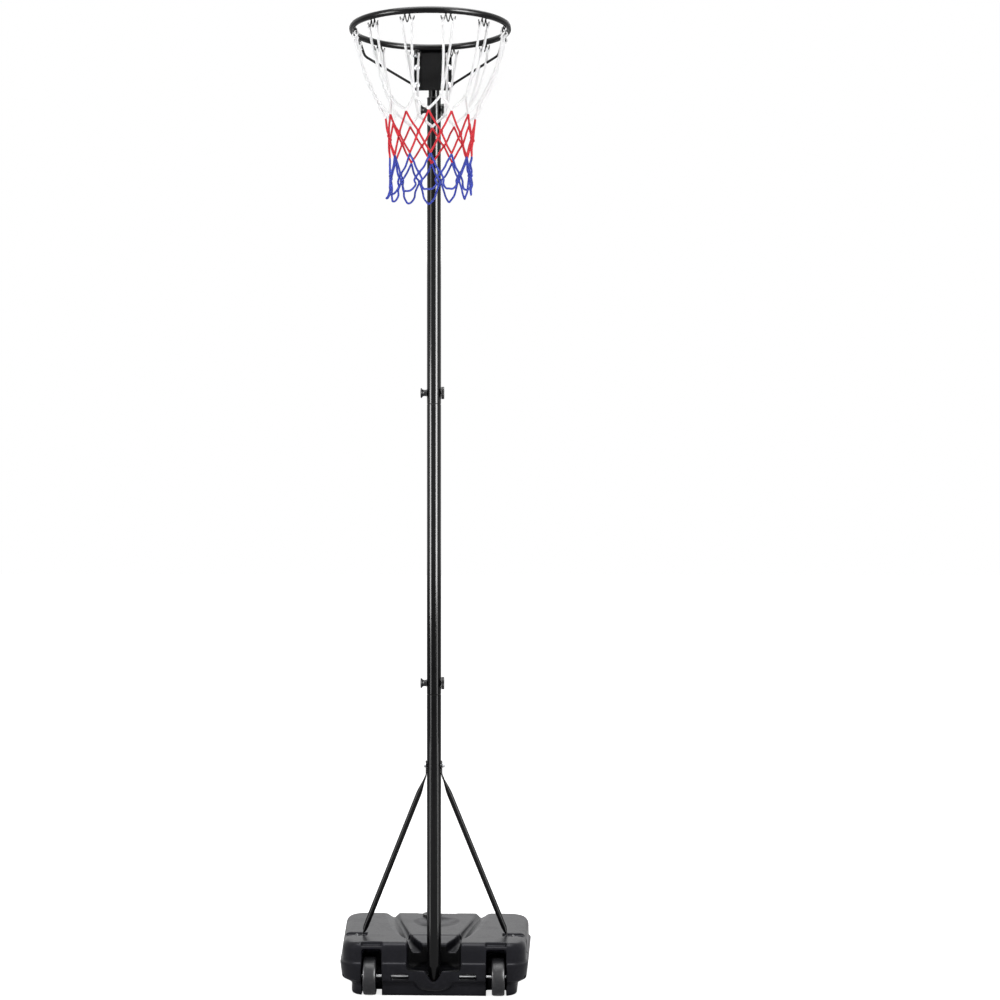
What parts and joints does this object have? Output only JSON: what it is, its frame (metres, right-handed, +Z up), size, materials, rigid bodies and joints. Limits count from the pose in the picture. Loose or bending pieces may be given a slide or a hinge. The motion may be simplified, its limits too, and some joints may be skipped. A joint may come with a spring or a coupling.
{
  "type": "netball post",
  "caption": "Free-standing netball post with a telescoping tube, side braces, a ring with a hanging net and a wheeled ballast tank.",
  "frame": {"origin": "on the post's axis at ground level, on the tank's flat underside", "axes": "+Z up along the post, -Y from the post towards the ring, +X to the right as seen from the ring's side"},
  "size_m": [0.532, 0.871, 2.5121],
  "materials": {
    "black_paint": "gloss black powder coat",
    "zinc_steel": "bright zinc plate",
    "black_plastic": "satin black moulding",
    "tank_plastic": "satin dark grey blow moulding",
    "rubber": "matt",
    "water": "water fill, shown as a plain solid",
    "white_cord": "braided nylon",
    "red_cord": "braided nylon",
    "blue_cord": "braided nylon"
  },
  "bodies": {
    "base": {"base_tank": "tank_plastic", "ballast_water": "water", "wheel_axle": "zinc_steel", "axle_push_nut_left": "zinc_steel", "axle_push_nut_right": "zinc_steel", "lower_post": "black_paint", "post_foot_plug": "black_plastic", "brace_left": "black_paint", "brace_right": "black_paint", "brace_bolt": "zinc_steel", "brace_screw_left": "zinc_steel", "brace_screw_right": "zinc_steel"},
    "filler_cap": {"filler_cap": "black_plastic", "filler_seal": "rubber"},
    "wheel_left": {"wheel_left": "black_plastic"},
    "wheel_right": {"wheel_right": "black_plastic"},
    "middle_post": {"middle_post": "black_paint"},
    "hoop_post": {"upper_post": "black_paint", "hoop_stub": "black_paint", "hoop_stub_bush": "black_plastic", "hoop_stub_cap": "black_plastic", "hoop_bracket": "black_paint", "bracket_bolt_upper": "zinc_steel", "bracket_bolt_lower": "zinc_steel", "hoop_plate": "black_paint", "plate_bolt_upper_left": "zinc_steel", "plate_bolt_middle_left": "zinc_steel", "plate_bolt_lower_left": "zinc_steel", "plate_bolt_upper_right": "zinc_steel", "plate_bolt_middle_right": "zinc_steel", "plate_bolt_lower_right": "zinc_steel", "hoop_ring": "black_paint", "ring_strut_left": "black_paint", "ring_strut_right": "black_paint", "net_hook_01": "black_paint", "net_hook_02": "black_paint", "net_hook_03": "black_paint", "net_hook_04": "black_paint", "net_hook_05": "black_paint", "net_hook_06": "black_paint", "net_hook_07": "black_paint", "net_hook_08": "black_paint", "net_hook_09": "black_paint", "net_hook_10": "black_paint", "net_hook_11": "black_paint", "net_hook_12": "black_paint", "net_white": "white_cord", "net_red": "red_cord", "net_blue": "blue_cord"},
    "lower_clamp_bolt": {"lower_clamp_bolt": "black_plastic"},
    "lower_clamp_knob": {"lower_clamp_knob": "black_plastic"},
    "upper_clamp_bolt": {"upper_clamp_bolt": "black_plastic"},
    "upper_clamp_knob": {"upper_clamp_knob": "black_plastic"},
    "hoop_clamp_bolt": {"hoop_clamp_bolt": "black_plastic"},
    "hoop_clamp_knob": {"hoop_clamp_knob": "black_plastic"}
  },
  "joints": [
    {"name": "lower_height_slide", "type": "slide", "parent": "base", "child": "middle_post", "axis": [0, 0, 1], "range_m": [0, 0.273]},
    {"name": "upper_height_slide", "type": "slide", "parent": "middle_post", "child": "hoop_post", "axis": [0, 0, 1], "range_m": [0, 0.273]},
    {"name": "lower_clamp_bolt_pull", "type": "slide", "parent": "middle_post", "child": "lower_clamp_bolt", "axis": [-1, 0, 0], "range_m": [0, 0.06]},
    {"name": "upper_clamp_bolt_pull", "type": "slide", "parent": "hoop_post", "child": "upper_clamp_bolt", "axis": [-1, 0, 0], "range_m": [0, 0.06]},
    {"name": "hoop_clamp_bolt_pull", "type": "slide", "parent": "hoop_post", "child": "hoop_clamp_bolt", "axis": [-1, 0, 0], "range_m": [0, 0.06]},
    {"name": "lower_clamp_knob_turn", "type": "hinge", "parent": "middle_post", "child": "lower_clamp_knob", "pos_m": [0.0193, 0, 0.8323], "axis": [1, 0, 0], "continuous": true},
    {"name": "upper_clamp_knob_turn", "type": "hinge", "parent": "hoop_post", "child": "upper_clamp_knob", "pos_m": [0.0193, 0, 1.6061], "axis": [1, 0, 0], "continuous": true},
    {"name": "hoop_clamp_knob_turn", "type": "hinge", "parent": "hoop_post", "child": "hoop_clamp_knob", "pos_m": [0.0193, 0, 2.3611], "axis": [1, 0, 0], "continuous": true},
    {"name": "wheel_left_spin", "type": "hinge", "parent": "base", "child": "wheel_left", "pos_m": [-0.171, 0, 0.0505], "axis": [1, 0, 0], "continuous": true},
    {"name": "wheel_right_spin", "type": "hinge", "parent": "base", "child": "wheel_right", "pos_m": [0.171, 0, 0.0505], "axis": [1, 0, 0], "continuous": true},
    {"name": "filler_cap_turn", "type": "hinge", "parent": "base", "child": "filler_cap", "pos_m": [-0.015, 0.318, 0.145], "axis": [0, 0, 1], "continuous": true}
  ]
}
